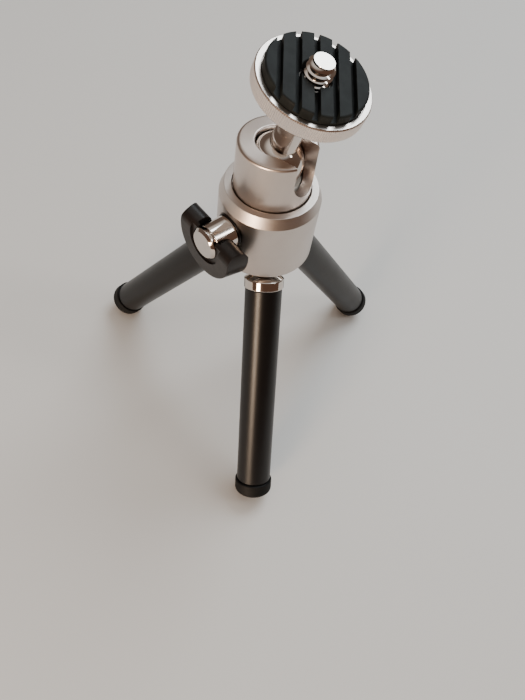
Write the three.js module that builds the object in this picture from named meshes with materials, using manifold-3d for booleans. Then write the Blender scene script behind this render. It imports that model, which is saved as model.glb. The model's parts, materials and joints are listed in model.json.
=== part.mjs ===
// Mini tabletop tripod with a ball head and a quarter-inch camera stud.
// Millimetres, +Z up. The object stands on its three feet at z = 0, and its box is centred on the origin.
import * as THREE from 'three';
import { mergeVertices } from 'three/addons/utils/BufferGeometryUtils.js';
import Module from 'manifold-3d';

const wasm = await Module();
wasm.setup();

// ---- driving dimensions ----

// Legs: each hangs from a pivot under the hub and leans outwards by the spread angle.
const LEG_COUNT = 3;
const FRONT_LEG_AZIMUTH = -90;
const LEG_SPREAD = 34;
const LEG_REACH = 76.8;
const OUTER_TUBE_RADIUS = 5.2;
const OUTER_TUBE_WALL = 0.6;
const MIDDLE_TUBE_WALL = 0.45;
const INNER_TUBE_WALL = 0.5;
const BUSH_LENGTH = 4;
const BUSH_WALL = 0.4;
const INNER_TUBE_SOCKET = 3.4;
const INNER_TUBE_RECESS = 1;
const FERRULE_RIM = 0.35;
const FERRULE_TOP = 6.25;
const FERRULE_HEIGHT = 2.65;
const FERRULE_CONE_HEIGHT = 1.6;
const SPIGOT_LENGTH = 4.1;
const FOOT_RIM = 0.5;
const FOOT_HEIGHT = 5;
const FOOT_EDGE = 1.5;
const FOOT_RIM_EDGE = 0.4;
const TONGUE_WIDTH = 4;
const TONGUE_THICKNESS = 4;
const TONGUE_COLLAR = 0.6;
const PIVOT_PIN_RADIUS = 1;
const PIVOT_PIN_LENGTH = 11;

// Hub: a turned shell with a lip at the top, over a clamp core and the carrier of the leg pivots.
const HUB_WALL = 1.5;
const HUB_HEIGHT = 21.3;
const HUB_FOOT_EDGE = 0.7;
const HUB_CHAMFER_HEIGHT = 2.9;
const HUB_CHAMFER_WIDTH = 1.15;
const HUB_RING_WIDTH = 1.95;
const HUB_LIP_THICKNESS = 2.5;
const PIVOT_ABOVE_HUB_FOOT = 1.8;
const CARRIER_HEIGHT = 7.4;
const BASE_SCREW_RADIUS = 1.5;
const BASE_SCREW_HEAD_RADIUS = 2.8;
const BASE_SCREW_HEAD_HEIGHT = 1.8;
const SCREW_DRIVE_REACH = 1.95;
const SCREW_DRIVE_HALF_WIDTH = 0.5;
const SCREW_DRIVE_DEPTH = 0.7;

// Ball cup: turns in the hub under its lip, and has one drop slot for the neck.
const BALL_RADIUS = 7;
const CUP_WALL = 2.65;
const CUP_ABOVE_HUB = 13.6;
const CUP_RIM_EDGE = 0.9;
const CUP_FLANGE_HEIGHT = 1.7;
const CUP_MOUTH_RADIUS = 5.54;
const CUP_MOUTH_LAND = 1.15;
const CUP_AZIMUTH = -37.4;
const SEAT_TOP_BELOW_BALL = 4.2;
const PLUNGER_RADIUS = 3;
const PLUNGER_HEAD_LENGTH = 0.9;
const PLUNGER_TIP_BELOW_KNOB = 1.2;

// Ball, neck and platform: the neck leans towards the slot by the head's tilt.
const HEAD_TILT = 14.1;
const NECK_RADIUS = 3.5;
const NECK_LENGTH = 15.1;
const NECK_STRAIGHT_LENGTH = 4;
const NECK_FLARE_RADIUS = 6.4;
const PLATFORM_THICKNESS = 3.7;
const PLATFORM_RADIUS = 13.33;
const PLATFORM_EDGE = 0.3;
const PLATFORM_RIM_WIDTH = 1.63;
const STUD_RADIUS = 3.175;
const STUD_PROJECTION = 5.35;
const STUD_TIP_RADIUS = 2.35;
const STUD_CHAMFER_LENGTH = 1.3;
const STUD_ROOT_DEPTH = 6;
const PAD_RECESS = 0.5;
const PAD_BASE_ABOVE_RIM = 0.5;
const PAD_RIB_HEIGHT = 1.7;
const PAD_RIB_PITCH_SHARE = 0.35;
const PAD_GROOVE_WIDTH = 1.4;
const PAD_GROOVE_COUNT = 5;
const PAD_GROOVE_OFFSET = 0.3;
const PAD_RIB_AZIMUTH = 123.5;

// Clamp knob: a plated barrel on a screw, with a half-round plastic wing clipped in its groove.
// The wing's two ends lie level on either side of the barrel, and are rounded across its thickness.
const KNOB_AZIMUTH = 216.5;
const KNOB_BELOW_CORE_TOP = 4.15;
const KNOB_REST_TURN = -3;
const BARREL_RADIUS = 4.35;
const BARREL_EDGE = 0.7;
const BARREL_HEAD_LENGTH = 0.9;
const BARREL_GROOVE_WIDTH = 1;
const BARREL_GROOVE_DEPTH = 1;
const WING_FRONT_RADIUS = 9.7;
const WING_BACK_RADIUS = 10.7;
const WING_CROWN_HEIGHT = 3.7;
const WING_SETBACK = 0.35;
const CLAMP_SCREW_RADIUS = 1.8;
const CLAMP_SCREW_TIP_RADIUS = 0.5;
const CLAMP_SCREW_TIP_REACH = 2.2;
const SPOT_FACE_DEPTH = 0.75;
const WASHER_THICKNESS = 0.55;

// ---- clearances ----
const RUNNING_GAP = 0.3;
const FIXED_GAP = 0.1;
const PRESS_GAP = 0.05;
const SLIDE_GAP = 0.15;
const CUP_LIP_GAP = 0.3;
const NECK_SLOT_GAP = 1.5;
const PAD_BORE_GAP = 0.6;
const BARREL_FACE_GAP = 0.5;
const BARREL_WING_GAP = 1.25;
const KNOB_SWING_GAP = 0.35;
const WING_HUB_GAP = 2.05;
const FOLDED_FEET_GAP = 0.4;

// ---- round sections ----
const LARGE_FACETS = 48;
const MEDIUM_FACETS = 32;
const SMALL_FACETS = 24;
const PIN_FACETS = 16;
const ARC_STEPS = 4;
const FOOT_ARC_STEPS = 3;
const BALL_ARC_STEPS = 9;
const NECK_FLARE_STEPS = 6;
const WING_CROWN_STEPS = 8;
const OVERCUT = 1;

// ---- sizes that follow from the driving dimensions ----
const radians = THREE.MathUtils.degToRad;
const degrees = THREE.MathUtils.radToDeg;
const spreadCos = Math.cos(radians(LEG_SPREAD));
const spreadSin = Math.sin(radians(LEG_SPREAD));

const cupBore = BALL_RADIUS + RUNNING_GAP;
const cupRadius = cupBore + CUP_WALL;
const cupSlotHalfWidth = NECK_RADIUS + NECK_SLOT_GAP;
const lipBore = cupRadius + CUP_LIP_GAP;
const hubRadius = lipBore + HUB_RING_WIDTH + HUB_CHAMFER_WIDTH;
const hubBore = hubRadius - HUB_WALL;
const coreRadius = hubBore - RUNNING_GAP;

const ferruleRadius = OUTER_TUBE_RADIUS + FERRULE_RIM;
const ferruleEnd = FERRULE_TOP + FERRULE_HEIGHT;
const footRadius = OUTER_TUBE_RADIUS + FOOT_RIM;
const footTop = LEG_REACH - FOOT_HEIGHT;
const tubeEnd = footTop - RUNNING_GAP;
const outerBore = OUTER_TUBE_RADIUS - OUTER_TUBE_WALL;
const middleBushRadius = outerBore - SLIDE_GAP;
const middleTubeRadius = middleBushRadius - BUSH_WALL - PRESS_GAP;
const innerBushRadius = middleTubeRadius - MIDDLE_TUBE_WALL - SLIDE_GAP;
const innerTubeRadius = innerBushRadius - BUSH_WALL - PRESS_GAP;
const middleTop = ferruleEnd + SPIGOT_LENGTH + RUNNING_GAP;
const innerTop = middleTop + INNER_TUBE_RECESS;
const pivotCircleRadius = (footRadius * 2 + FOLDED_FEET_GAP) / (2 * Math.sin(Math.PI / LEG_COUNT));

const pivotHeight = (LEG_REACH - FOOT_EDGE) * spreadCos + (footRadius - FOOT_EDGE) * spreadSin + FOOT_EDGE;
const hubFoot = pivotHeight - PIVOT_ABOVE_HUB_FOOT;
const hubTop = hubFoot + HUB_HEIGHT;
const lipUnderside = hubTop - HUB_LIP_THICKNESS;
const cupTop = hubTop + CUP_ABOVE_HUB;
const cupFlangeTop = lipUnderside - RUNNING_GAP;
const cupFoot = cupFlangeTop - CUP_FLANGE_HEIGHT;
const mouthAboveBall = Math.sqrt(cupBore * cupBore - CUP_MOUTH_RADIUS * CUP_MOUTH_RADIUS);
const ballHeight = cupTop - CUP_MOUTH_LAND - mouthAboveBall;
const coreFoot = hubFoot + CARRIER_HEIGHT + FIXED_GAP;
const coreTop = cupFoot - RUNNING_GAP;
const knobHeight = coreTop - KNOB_BELOW_CORE_TOP;
const plungerTip = knobHeight - PLUNGER_TIP_BELOW_KNOB;
const plungerPocketFloor = plungerTip - RUNNING_GAP * 2;
const plungerTop = coreTop + PLUNGER_HEAD_LENGTH;
const seatFoot = plungerTop + RUNNING_GAP;

const platformUnderside = BALL_RADIUS + NECK_LENGTH;
const platformTop = platformUnderside + PLATFORM_THICKNESS;
const neckStraightEnd = BALL_RADIUS + NECK_STRAIGHT_LENGTH;
const neckEnd = platformUnderside - RUNNING_GAP;
const padRadius = PLATFORM_RADIUS - PLATFORM_RIM_WIDTH;
const padRibPitch = padRadius * PAD_RIB_PITCH_SHARE;

const spotFaceReach = hubRadius - SPOT_FACE_DEPTH;
const spotFaceRadius = BARREL_RADIUS + BARREL_FACE_GAP;
const wingFrontSlot = BARREL_RADIUS + BARREL_WING_GAP;
const barrelGrooveRadius = BARREL_RADIUS - BARREL_GROOVE_DEPTH;
const knobReach = platformUnderside - KNOB_SWING_GAP;
const grooveOuter = knobReach - BARREL_HEAD_LENGTH;
const grooveInner = grooveOuter - BARREL_GROOVE_WIDTH;
const wingFront = knobReach - WING_SETBACK;
const wingBack = hubRadius + WING_HUB_GAP;
const washerInner = spotFaceReach + RUNNING_GAP;
const barrelInner = washerInner + WASHER_THICKNESS + FIXED_GAP;
const screwEnd = grooveInner - BARREL_HEAD_LENGTH;

// ---- geometry helpers ----

/** A solid of revolution about +Z from [radius, height] points that start and end on the axis or close. */
function turned(points, facets = LARGE_FACETS) {
  const profile = points.map(([radius, height]) => new THREE.Vector2(radius, height));
  const geometry = new THREE.LatheGeometry(profile, facets);
  return geometry.rotateX(Math.PI / 2);
}

/** Points of an arc about a centre, from one angle to another in degrees. */
function arc(centreRadius, centreHeight, radius, fromDegrees, toDegrees, steps = ARC_STEPS) {
  const points = [];
  for (let step = 0; step <= steps; step += 1) {
    const angle = radians(fromDegrees + ((toDegrees - fromDegrees) * step) / steps);
    points.push([centreRadius + radius * Math.cos(angle), centreHeight + radius * Math.sin(angle)]);
  }
  return points;
}

/** A plain ring or, with no bore, a plain disc, between two heights. */
function sleeve(outer, bore, from, to, facets = LARGE_FACETS) {
  if (bore <= 0) {
    return turned([[0, from], [outer, from], [outer, to], [0, to]], facets);
  }
  return turned([[bore, from], [outer, from], [outer, to], [bore, to], [bore, from]], facets);
}

/** A box between two corners. */
function block(x0, y0, z0, x1, y1, z1) {
  const geometry = new THREE.BoxGeometry(x1 - x0, y1 - y0, z1 - z0);
  return geometry.translate((x0 + x1) / 2, (y0 + y1) / 2, (z0 + z1) / 2);
}

/** A rod of one radius along +X. */
function rodAlongX(radius, from, to, facets = SMALL_FACETS) {
  return sleeve(radius, 0, from, to, facets).rotateY(Math.PI / 2);
}

/** A rod of one radius along Y, centred on y = 0. */
function rodAlongY(radius, length, facets = PIN_FACETS) {
  return sleeve(radius, 0, -length / 2, length / 2, facets).rotateX(Math.PI / 2);
}

/** A closed three.js geometry as a solid that can be cut and joined. */
function solid(geometry) {
  const bare = geometry.clone();
  bare.deleteAttribute('normal');
  bare.deleteAttribute('uv');
  const merged = mergeVertices(bare, 1e-4);
  const corners = [];
  const index = merged.index.array;
  for (let i = 0; i < index.length; i += 3) {
    const [a, b, c] = [index[i], index[i + 1], index[i + 2]];
    if (a !== b && b !== c && c !== a) {
      corners.push(a, b, c);
    }
  }
  const mesh = new wasm.Mesh({
    numProp: 3,
    vertProperties: new Float32Array(merged.attributes.position.array),
    triVerts: new Uint32Array(corners),
  });
  return new wasm.Manifold(mesh);
}

/** A solid back as a three.js geometry. */
function shapeOf(body) {
  const mesh = body.getMesh();
  const geometry = new THREE.BufferGeometry();
  geometry.setAttribute('position', new THREE.BufferAttribute(new Float32Array(mesh.vertProperties), 3));
  geometry.setIndex(new THREE.BufferAttribute(new Uint32Array(mesh.triVerts), 1));
  geometry.computeVertexNormals();
  return geometry;
}

/** One geometry with others cut from it. */
function cut(geometry, ...tools) {
  let body = solid(geometry);
  for (const tool of tools) {
    body = body.subtract(solid(tool));
  }
  return shapeOf(body);
}

/** Several geometries joined into one. */
function join(...pieces) {
  let body = solid(pieces[0]);
  for (const piece of pieces.slice(1)) {
    body = body.add(solid(piece));
  }
  return shapeOf(body);
}

/** What two geometries have in common. */
function meet(first, second) {
  return shapeOf(solid(first).intersect(solid(second)));
}

// ---- finishes ----

/** A material of one colour, roughness and metalness. */
function finish(color, roughness, metalness) {
  return new THREE.MeshStandardMaterial({ color, roughness, metalness });
}

const satinSilver = finish(0xc9c3bb, 0.34, 1);
const chrome = finish(0xd8d5d0, 0.08, 1);
const darkSteel = finish(0x6d6a66, 0.4, 1);
const brass = finish(0xb08d57, 0.35, 1);
const blackPaint = finish(0x17171a, 0.42, 0.2);
const blackPlastic = finish(0x1b1b1e, 0.35, 0);
const blackRubber = finish(0x1e1f20, 0.8, 0);
const whiteNylon = finish(0xd9d6cc, 0.5, 0);

/** A named sub-part in a group. */
function addPart(group, name, geometry, material) {
  const mesh = new THREE.Mesh(geometry, material);
  mesh.name = name;
  group.add(mesh);
  return mesh;
}

/** A child group turned about Z. */
function turnedGroup(parent, azimuth) {
  const group = new THREE.Group();
  group.rotation.z = radians(azimuth);
  parent.add(group);
  return group;
}

// ---- hub ----

/** The radial passage of the clamp screw, towards the knob. */
function clampPassage(radius, from, to) {
  const passage = rodAlongX(radius, from, to);
  passage.translate(0, 0, knobHeight);
  return passage.rotateZ(radians(KNOB_AZIMUTH));
}

function hubShell() {
  const shell = turned([
    [hubBore, hubFoot],
    ...arc(hubRadius - HUB_FOOT_EDGE, hubFoot + HUB_FOOT_EDGE, HUB_FOOT_EDGE, -90, 0),
    [hubRadius, hubTop - HUB_CHAMFER_HEIGHT],
    [hubRadius - HUB_CHAMFER_WIDTH, hubTop],
    [lipBore, hubTop],
    [lipBore, lipUnderside],
    [hubBore, lipUnderside],
    [hubBore, hubFoot],
  ]);
  const screwHole = clampPassage(CLAMP_SCREW_RADIUS + RUNNING_GAP, hubBore / 2, hubRadius * 2);
  const spotFace = clampPassage(spotFaceRadius, spotFaceReach, hubRadius * 2);
  return cut(shell, screwHole, spotFace);
}

function legCarrier() {
  const top = hubFoot + CARRIER_HEIGHT;
  const slotTop = pivotHeight + TONGUE_WIDTH / 2 + RUNNING_GAP;
  const slotHalf = TONGUE_THICKNESS / 2 + RUNNING_GAP;
  const slotInner = pivotCircleRadius - TONGUE_WIDTH / 2 - RUNNING_GAP;
  const below = hubFoot - OVERCUT;
  const tools = [
    sleeve(BASE_SCREW_RADIUS + FIXED_GAP, 0, below, top + OVERCUT, PIN_FACETS),
    sleeve(BASE_SCREW_HEAD_RADIUS + FIXED_GAP, 0, below, hubFoot + BASE_SCREW_HEAD_HEIGHT, SMALL_FACETS),
  ];
  for (let leg = 0; leg < LEG_COUNT; leg += 1) {
    const turn = radians(FRONT_LEG_AZIMUTH + (360 / LEG_COUNT) * leg);
    const slot = block(slotInner, -slotHalf, below, hubRadius, slotHalf, slotTop);
    const pinHole = rodAlongY(PIVOT_PIN_RADIUS + FIXED_GAP, PIVOT_PIN_LENGTH + FIXED_GAP * 2);
    pinHole.translate(pivotCircleRadius, 0, pivotHeight);
    tools.push(slot.rotateZ(turn), pinHole.rotateZ(turn));
  }
  return cut(sleeve(coreRadius, 0, hubFoot, top), ...tools);
}

function clampCore() {
  const plungerBore = PLUNGER_RADIUS + RUNNING_GAP;
  return cut(
    sleeve(coreRadius, 0, coreFoot, coreTop),
    sleeve(plungerBore, 0, plungerPocketFloor, coreTop + OVERCUT, SMALL_FACETS),
    sleeve(BASE_SCREW_RADIUS + FIXED_GAP, 0, coreFoot - OVERCUT, plungerPocketFloor + OVERCUT, PIN_FACETS),
    clampPassage(CLAMP_SCREW_RADIUS + RUNNING_GAP, CLAMP_SCREW_TIP_REACH - RUNNING_GAP, hubRadius),
  );
}

function baseScrew() {
  const headFoot = hubFoot + PRESS_GAP;
  const headTop = hubFoot + BASE_SCREW_HEAD_HEIGHT - FIXED_GAP;
  const top = plungerPocketFloor - RUNNING_GAP;
  const screw = turned(
    [
      [0, headFoot],
      [BASE_SCREW_HEAD_RADIUS, headFoot],
      [BASE_SCREW_HEAD_RADIUS, headTop],
      [BASE_SCREW_RADIUS, headTop],
      [BASE_SCREW_RADIUS, top],
      [0, top],
    ],
    PIN_FACETS,
  );
  const arm = SCREW_DRIVE_REACH;
  const half = SCREW_DRIVE_HALF_WIDTH;
  const below = headFoot - OVERCUT;
  const driveTop = headFoot + SCREW_DRIVE_DEPTH;
  const across = block(-arm, -half, below, arm, half, driveTop);
  const along = block(-half, -arm, below, half, arm, driveTop);
  return cut(screw, across, along);
}

function plunger() {
  const coneTop = plungerTip + PLUNGER_RADIUS;
  const profile = [[0, plungerTip], [PLUNGER_RADIUS, coneTop], [PLUNGER_RADIUS, plungerTop], [0, plungerTop]];
  return turned(profile, SMALL_FACETS);
}

function buildHub(tripod) {
  addPart(tripod, 'hub_shell', hubShell(), satinSilver);
  addPart(tripod, 'leg_carrier', legCarrier(), darkSteel);
  addPart(tripod, 'clamp_core', clampCore(), satinSilver);
  addPart(tripod, 'base_screw', baseScrew(), darkSteel);
  addPart(tripod, 'clamp_plunger', plunger(), brass);
}

// ---- ball cup ----

function ballCup() {
  const lipAngle = degrees(Math.acos(CUP_MOUTH_RADIUS / cupBore));
  const cup = turned([
    [cupBore, cupFoot],
    [coreRadius, cupFoot],
    [coreRadius, cupFlangeTop],
    [cupRadius, cupFlangeTop],
    ...arc(cupRadius - CUP_RIM_EDGE, cupTop - CUP_RIM_EDGE, CUP_RIM_EDGE, 0, 90),
    [CUP_MOUTH_RADIUS, cupTop],
    ...arc(0, ballHeight, cupBore, lipAngle, 0),
    [cupBore, cupFoot],
  ]);
  const beyond = cupRadius * 2;
  const dropSlot = block(0, -cupSlotHalfWidth, ballHeight, beyond, cupSlotHalfWidth, cupTop + OVERCUT);
  const slotEnd = rodAlongX(cupSlotHalfWidth, 0, beyond);
  slotEnd.translate(0, 0, ballHeight);
  return cut(cup, dropSlot, slotEnd);
}

function pressureSeat() {
  const top = ballHeight - SEAT_TOP_BELOW_BALL;
  const rimAngle = -degrees(Math.asin(SEAT_TOP_BELOW_BALL / cupBore));
  const radius = cupBore - RUNNING_GAP;
  return turned(
    [[0, seatFoot], [radius, seatFoot], [radius, top], ...arc(0, ballHeight, cupBore, rimAngle, -90)],
    MEDIUM_FACETS,
  );
}

function buildCup(tripod) {
  const cupGroup = turnedGroup(tripod, CUP_AZIMUTH);
  addPart(cupGroup, 'ball_cup', ballCup(), satinSilver);
  addPart(cupGroup, 'pressure_seat', pressureSeat(), whiteNylon);
}

// ---- ball, neck and platform, along +Z from the ball's centre ----

/** Radius of the neck at a distance from the ball's centre. */
function neckRadius(distance) {
  const share = Math.max(0, (distance - neckStraightEnd) / (neckEnd - neckStraightEnd));
  return NECK_RADIUS + (NECK_FLARE_RADIUS - NECK_RADIUS) * share * share;
}

function ballAndNeck() {
  const neckAngle = degrees(Math.acos(NECK_RADIUS / BALL_RADIUS));
  const points = arc(0, 0, BALL_RADIUS, -90, neckAngle, BALL_ARC_STEPS);
  for (let step = 0; step <= NECK_FLARE_STEPS; step += 1) {
    const distance = neckStraightEnd + ((neckEnd - neckStraightEnd) * step) / NECK_FLARE_STEPS;
    points.push([neckRadius(distance), distance]);
  }
  const socket = STUD_RADIUS + FIXED_GAP;
  const socketFloor = neckEnd - STUD_ROOT_DEPTH - FIXED_GAP;
  points.push([socket, neckEnd], [socket, socketFloor], [0, socketFloor]);
  return turned(points, MEDIUM_FACETS);
}

function cameraStud() {
  const top = platformTop + STUD_PROJECTION;
  const crest = top - STUD_CHAMFER_LENGTH;
  const foot = neckEnd - STUD_ROOT_DEPTH;
  return turned(
    [[0, foot], [STUD_RADIUS, foot], [STUD_RADIUS, crest], [STUD_TIP_RADIUS, top], [0, top]],
    SMALL_FACETS,
  );
}

function platformDisc() {
  const top = platformTop;
  const bore = STUD_RADIUS + RUNNING_GAP;
  const recess = padRadius + FIXED_GAP;
  return turned([
    [bore, platformUnderside],
    [PLATFORM_RADIUS - PLATFORM_EDGE, platformUnderside],
    [PLATFORM_RADIUS, platformUnderside + PLATFORM_EDGE],
    [PLATFORM_RADIUS, top - PLATFORM_EDGE],
    [PLATFORM_RADIUS - PLATFORM_EDGE, top],
    [recess, top],
    [recess, top - PAD_RECESS],
    [bore, top - PAD_RECESS],
    [bore, platformUnderside],
  ]);
}

function platformPad() {
  const grooveFloor = platformTop + PAD_BASE_ABOVE_RIM;
  const top = grooveFloor + PAD_RIB_HEIGHT;
  const bore = STUD_RADIUS + PAD_BORE_GAP;
  const beyond = padRadius * 2;
  const grooves = [];
  for (let groove = 0; groove < PAD_GROOVE_COUNT; groove += 1) {
    const middle = (groove - (PAD_GROOVE_COUNT - 1) / 2) * padRibPitch + PAD_GROOVE_OFFSET;
    const half = PAD_GROOVE_WIDTH / 2;
    grooves.push(block(-beyond, middle - half, grooveFloor, beyond, middle + half, top + OVERCUT));
  }
  const disc = sleeve(padRadius, bore, platformTop - PAD_RECESS + PRESS_GAP, top);
  return cut(disc, ...grooves).rotateZ(radians(PAD_RIB_AZIMUTH));
}

function buildHead(tripod) {
  const headGroup = turnedGroup(tripod, CUP_AZIMUTH);
  const leaning = new THREE.Group();
  leaning.position.set(0, 0, ballHeight);
  leaning.rotation.y = radians(HEAD_TILT);
  headGroup.add(leaning);
  addPart(leaning, 'ball_neck', ballAndNeck(), chrome);
  addPart(leaning, 'camera_stud', cameraStud(), chrome);
  addPart(leaning, 'platform_disc', platformDisc(), satinSilver);
  addPart(leaning, 'platform_pad', platformPad(), blackRubber);
}

// ---- clamp knob, along +X from the hub's axis ----

function knobBarrel() {
  const bore = CLAMP_SCREW_RADIUS + FIXED_GAP;
  return turned(
    [
      [bore, barrelInner],
      [BARREL_RADIUS, barrelInner],
      [BARREL_RADIUS, grooveInner],
      [barrelGrooveRadius, grooveInner],
      [barrelGrooveRadius, grooveOuter],
      [BARREL_RADIUS, grooveOuter],
      [BARREL_RADIUS, knobReach - BARREL_EDGE],
      [BARREL_RADIUS - BARREL_EDGE, knobReach],
      [0, knobReach],
      [0, screwEnd + FIXED_GAP],
      [bore, screwEnd + FIXED_GAP],
      [bore, barrelInner],
    ],
    MEDIUM_FACETS,
  ).rotateY(Math.PI / 2);
}

/** The wing's slab, from its back to its front along X and across Y, with a full round along its top. */
function wingSlab() {
  const half = (wingFront - wingBack) / 2;
  const roundHeight = WING_CROWN_HEIGHT - half;
  const below = -WING_BACK_RADIUS - OVERCUT;
  const width = (WING_BACK_RADIUS + OVERCUT) * 2;
  const profile = new THREE.Shape();
  profile.moveTo(wingBack, below);
  profile.lineTo(wingFront, below);
  profile.lineTo(wingFront, roundHeight);
  profile.absarc(wingBack + half, roundHeight, half, 0, Math.PI, false);
  const settings = { depth: width, bevelEnabled: false, curveSegments: WING_CROWN_STEPS };
  return new THREE.ExtrudeGeometry(profile, settings).rotateX(Math.PI / 2).translate(0, width / 2, 0);
}

/** A slot about the knob's axis with a round end, open above it, from one distance to another along X. */
function openSlot(halfWidth, from, to) {
  const height = WING_BACK_RADIUS * 2;
  return join(rodAlongX(halfWidth, from, to), block(from, -halfWidth, 0, to, halfWidth, height));
}

function knobWing() {
  const behind = wingBack - OVERCUT;
  const ahead = wingFront + OVERCUT;
  const rims = [[WING_BACK_RADIUS, wingBack], [WING_FRONT_RADIUS, wingFront]];
  const round = turned([[0, wingBack], ...rims, [0, wingFront]]);
  return cut(
    meet(round.rotateY(Math.PI / 2), wingSlab()),
    openSlot(barrelGrooveRadius + FIXED_GAP, behind, ahead),
    openSlot(BARREL_RADIUS + FIXED_GAP, behind, grooveInner + FIXED_GAP),
    openSlot(wingFrontSlot, grooveOuter - FIXED_GAP, ahead),
  );
}

function clampScrew() {
  const cone = CLAMP_SCREW_RADIUS - CLAMP_SCREW_TIP_RADIUS;
  const tip = CLAMP_SCREW_TIP_REACH;
  const profile = [
    [0, tip],
    [CLAMP_SCREW_TIP_RADIUS, tip],
    [CLAMP_SCREW_RADIUS, tip + cone],
    [CLAMP_SCREW_RADIUS, screwEnd],
    [0, screwEnd],
  ];
  return turned(profile, PIN_FACETS).rotateY(Math.PI / 2);
}

function knobWasher() {
  const bore = CLAMP_SCREW_RADIUS + RUNNING_GAP;
  const outer = spotFaceRadius - RUNNING_GAP;
  return sleeve(outer, bore, washerInner, washerInner + WASHER_THICKNESS, SMALL_FACETS).rotateY(Math.PI / 2);
}

function buildKnob(tripod) {
  const knobGroup = turnedGroup(tripod, KNOB_AZIMUTH);
  const spinning = new THREE.Group();
  spinning.position.set(0, 0, knobHeight);
  spinning.rotation.x = radians(KNOB_REST_TURN);
  knobGroup.add(spinning);
  addPart(spinning, 'clamp_screw', clampScrew(), darkSteel);
  addPart(spinning, 'knob_washer', knobWasher(), blackPlastic);
  addPart(spinning, 'knob_barrel', knobBarrel(), chrome);
  addPart(spinning, 'knob_wing', knobWing(), blackPlastic);
}

// ---- legs, along -Z from the pivot ----

function legHead() {
  const spigot = outerBore - FIXED_GAP;
  const half = TONGUE_WIDTH / 2;
  const coneTop = -FERRULE_TOP + FERRULE_CONE_HEIGHT;
  const ferrule = turned(
    [
      [0, -ferruleEnd - SPIGOT_LENGTH],
      [spigot, -ferruleEnd - SPIGOT_LENGTH],
      [spigot, -ferruleEnd],
      [ferruleRadius, -ferruleEnd],
      [ferruleRadius, -FERRULE_TOP],
      [half + TONGUE_COLLAR, coneTop],
      [0, coneTop],
    ],
    SMALL_FACETS,
  );
  const plate = block(-half, -TONGUE_THICKNESS / 2, -FERRULE_TOP, half, TONGUE_THICKNESS / 2, 0);
  const eye = rodAlongY(half, TONGUE_THICKNESS, SMALL_FACETS);
  const eyeHole = rodAlongY(PIVOT_PIN_RADIUS + RUNNING_GAP, TONGUE_THICKNESS * 2);
  return cut(join(ferrule, plate, eye), eyeHole);
}

function legTube(radius, wall, from, to) {
  return sleeve(radius, radius - wall, -to, -from, SMALL_FACETS);
}

function footCap() {
  const socket = innerTubeRadius + PRESS_GAP;
  const socketFloor = footTop + INNER_TUBE_SOCKET + PRESS_GAP;
  return turned(
    [
      [0, -LEG_REACH],
      ...arc(footRadius - FOOT_EDGE, -LEG_REACH + FOOT_EDGE, FOOT_EDGE, -90, 0, FOOT_ARC_STEPS),
      [footRadius, -footTop - FOOT_RIM_EDGE],
      [footRadius - FOOT_RIM_EDGE, -footTop],
      [socket, -footTop],
      [socket, -socketFloor],
      [0, -socketFloor],
    ],
    SMALL_FACETS,
  );
}

function buildLeg(tripod, number) {
  const legGroup = turnedGroup(tripod, FRONT_LEG_AZIMUTH + (360 / LEG_COUNT) * (number - 1));
  const leaning = new THREE.Group();
  leaning.position.set(pivotCircleRadius, 0, pivotHeight);
  leaning.rotation.y = radians(-LEG_SPREAD);
  legGroup.add(leaning);
  const pivotPin = rodAlongY(PIVOT_PIN_RADIUS, PIVOT_PIN_LENGTH).translate(pivotCircleRadius, 0, pivotHeight);
  const outerTube = legTube(OUTER_TUBE_RADIUS, OUTER_TUBE_WALL, ferruleEnd + PRESS_GAP, tubeEnd);
  const middleTube = legTube(middleTubeRadius, MIDDLE_TUBE_WALL, middleTop, tubeEnd);
  const innerTube = legTube(innerTubeRadius, INNER_TUBE_WALL, innerTop, footTop + INNER_TUBE_SOCKET);
  const upperBush = legTube(middleBushRadius, BUSH_WALL, middleTop, middleTop + BUSH_LENGTH);
  const lowerBush = legTube(innerBushRadius, BUSH_WALL, innerTop, innerTop + BUSH_LENGTH);
  addPart(legGroup, `pivot_pin_${number}`, pivotPin, darkSteel);
  addPart(leaning, `leg_head_${number}`, legHead(), chrome);
  addPart(leaning, `outer_tube_${number}`, outerTube, blackPaint);
  addPart(leaning, `middle_bush_${number}`, upperBush, whiteNylon);
  addPart(leaning, `middle_tube_${number}`, middleTube, chrome);
  addPart(leaning, `inner_bush_${number}`, lowerBush, whiteNylon);
  addPart(leaning, `inner_tube_${number}`, innerTube, chrome);
  addPart(leaning, `foot_cap_${number}`, footCap(), blackRubber);
}

// ---- the whole tripod ----
const tripod = new THREE.Group();
buildHub(tripod);
buildCup(tripod);
buildHead(tripod);
buildKnob(tripod);
for (let number = 1; number <= LEG_COUNT; number += 1) {
  buildLeg(tripod, number);
}

// The origin is the middle of the footprint box, on the surface that the feet stand on.
const footprint = new THREE.Box3().setFromObject(tripod, true);
const middle = footprint.getCenter(new THREE.Vector3());
tripod.position.set(-middle.x, -middle.y, -footprint.min.z);

const object = new THREE.Group();
object.add(tripod);
export default object;
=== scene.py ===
"""Mini tabletop tripod with a ball head: the turned, moulded and plated pieces in their real finishes."""
import json
import math

import bmesh
import bpy
from mathutils import Matrix, Vector


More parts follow.
